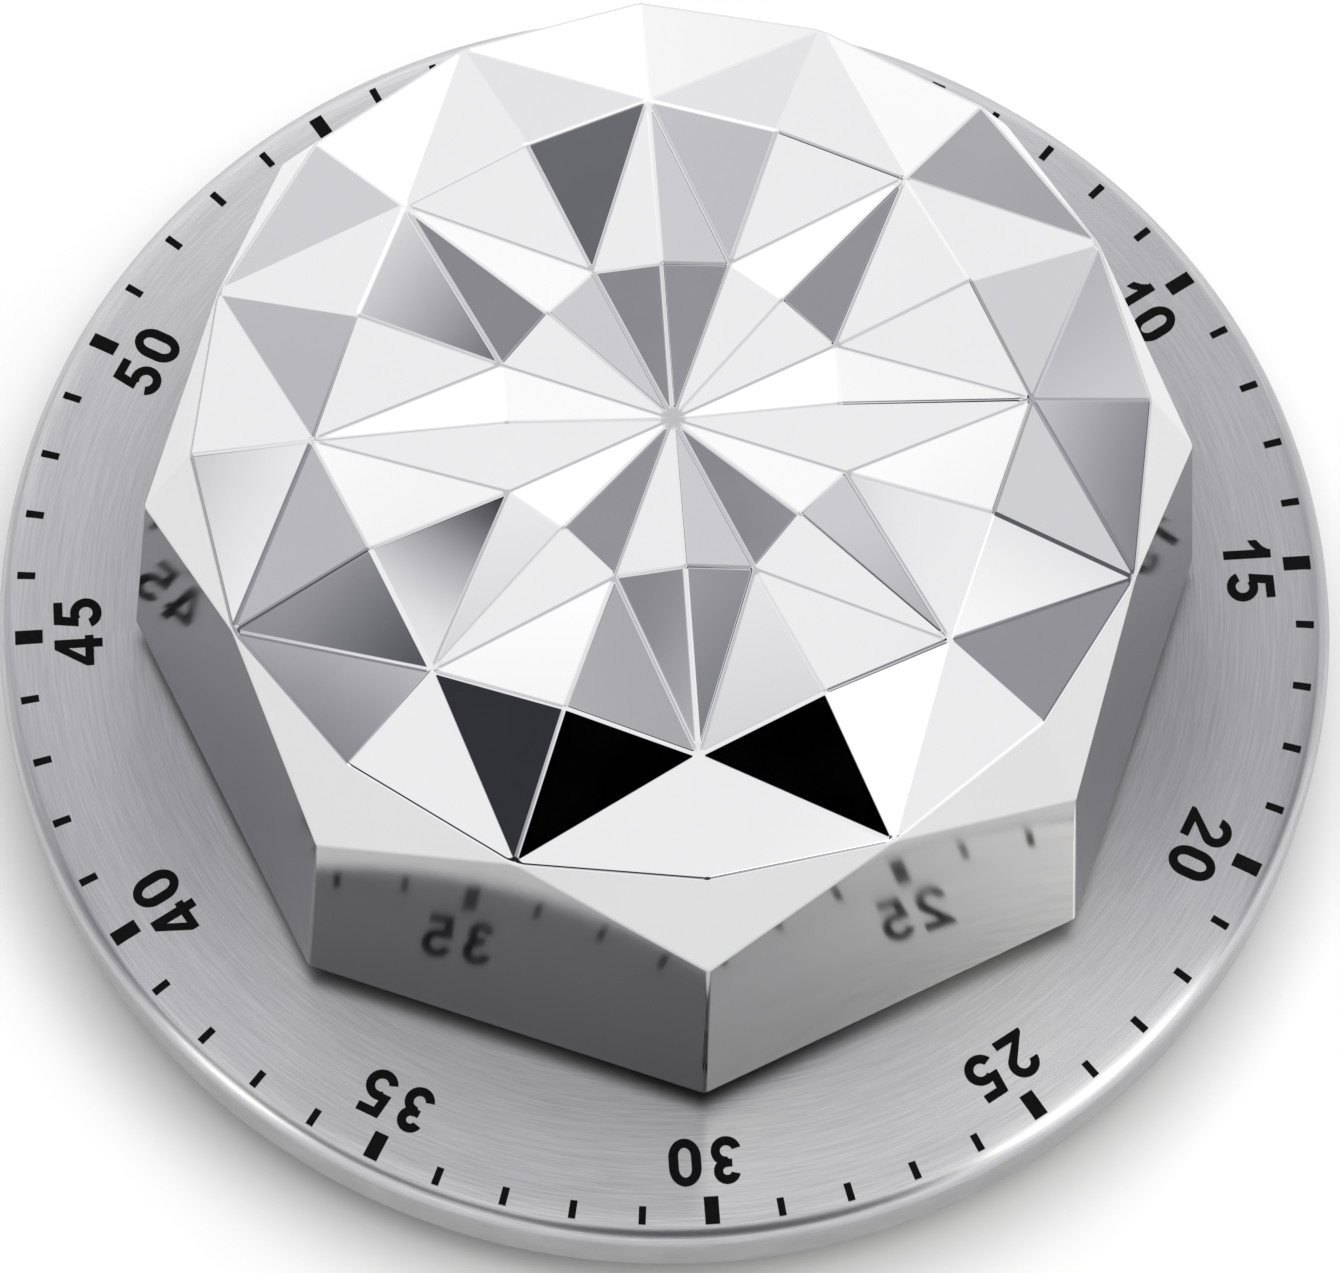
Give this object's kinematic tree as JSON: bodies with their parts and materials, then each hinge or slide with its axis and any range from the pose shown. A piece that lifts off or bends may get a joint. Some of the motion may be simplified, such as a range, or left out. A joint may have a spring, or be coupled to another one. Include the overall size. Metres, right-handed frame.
{
  "type": "kitchen timer",
  "caption": "Round wind-up kitchen timer with a faceted eight-sided chrome knob over a brushed steel dial marked 0 to 55 minutes, with a magnetic back.",
  "frame": {"origin": "centre of the underside, on the surface the timer stands or sticks to", "axes": "+Z out of the dial along the knob's axis; minute 0 at +Y, minute 15 at +X, minute 30 at -Y"},
  "size_m": [0.078, 0.078, 0.0352],
  "materials": {
    "steel_brushed": "circular brushing",
    "ink_black": "printed ink",
    "plated_plastic": "bright chrome plating on ABS",
    "black_plastic": "fine texture",
    "rubber_black": "matt",
    "magnet_nickel": "nickel plate",
    "zinc_steel": "zinc plate",
    "plate_steel": "plain steel sheet",
    "brass": "machined",
    "arbor_steel": "turned steel",
    "bell_steel": "nickel plate",
    "hammer_brass": "turned",
    "spring_steel": "blued strip"
  },
  "bodies": {
    "base": {"base_housing": "black_plastic", "foot_pad": "rubber_black", "magnets": "magnet_nickel", "base_screws": "zinc_steel", "dial_cover": "steel_brushed", "minute_marks": "ink_black", "dial_numerals": "ink_black", "movement_cover": "black_plastic", "movement_screws": "zinc_steel", "lower_plate": "plate_steel", "top_plate": "plate_steel", "pillars": "brass", "stop_post": "arbor_steel", "spring_post": "arbor_steel", "bell": "bell_steel", "bell_screw": "zinc_steel", "mainspring": "spring_steel", "hammer_spring": "spring_steel"},
    "knob": {"knob_shell": "plated_plastic", "knob_core": "black_plastic", "knob_screws": "zinc_steel", "pointer_mark": "ink_black", "main_arbor": "arbor_steel", "arbor_clip": "arbor_steel", "ratchet_wheel": "arbor_steel", "stop_cam": "plate_steel"},
    "great": {"great_wheel": "brass", "click": "arbor_steel", "click_spring": "spring_steel"},
    "second": {"second_pinion": "arbor_steel", "second_wheel": "brass"},
    "third": {"third_pinion": "arbor_steel", "third_wheel": "brass"},
    "escape": {"escape_pinion": "arbor_steel", "escape_wheel": "brass"},
    "pallet": {"pallet_arbor": "arbor_steel", "pallet_anchor": "arbor_steel", "inertia_bar": "plate_steel"},
    "hammer": {"hammer_arbor": "arbor_steel", "trip_finger": "plate_steel", "hammer_arm": "plate_steel", "hammer_head": "hammer_brass"}
  },
  "joints": [
    {"name": "knob_turn", "type": "hinge", "parent": "base", "child": "knob", "pos_m": [0, 0, 0.02], "axis": [0, 0, -1], "range_deg": [0, 348]},
    {"name": "great_turn", "type": "hinge", "parent": "base", "child": "great", "pos_m": [0, 0, 0.0115], "axis": [0, 0, -1], "range_deg": [0, 348]},
    {"name": "second_turn", "type": "hinge", "parent": "base", "child": "second", "pos_m": [-0.01052, -0.00383, 0.0135], "axis": [0, 0, -1], "range_deg": [-2088, 0]},
    {"name": "third_turn", "type": "hinge", "parent": "base", "child": "third", "pos_m": [-0.00637, -0.01133, 0.0155], "axis": [0, 0, -1], "range_deg": [0, 12528]},
    {"name": "escape_turn", "type": "hinge", "parent": "base", "child": "escape", "pos_m": [0.00208, -0.01283, 0.0135], "axis": [0, 0, -1], "range_deg": [-75168, 0]},
    {"name": "pallet_rock", "type": "hinge", "parent": "base", "child": "pallet", "pos_m": [0.01037, -0.01152, 0.0146], "axis": [0, 0, 1], "range_deg": [-2, 2]},
    {"name": "hammer_swing", "type": "hinge", "parent": "base", "child": "hammer", "pos_m": [0, 0.0206, 0.014], "axis": [0, 0, 1], "range_deg": [0, 5], "stiffness_Nm_per_rad": 0.01, "springref_deg": -11.46}
  ],
  "couplings": [
    {"joint": "great_turn", "follows": "knob_turn", "ratio": 1},
    {"joint": "second_turn", "follows": "knob_turn", "ratio": -6},
    {"joint": "third_turn", "follows": "knob_turn", "ratio": 36},
    {"joint": "escape_turn", "follows": "knob_turn", "ratio": -216}
  ]
}
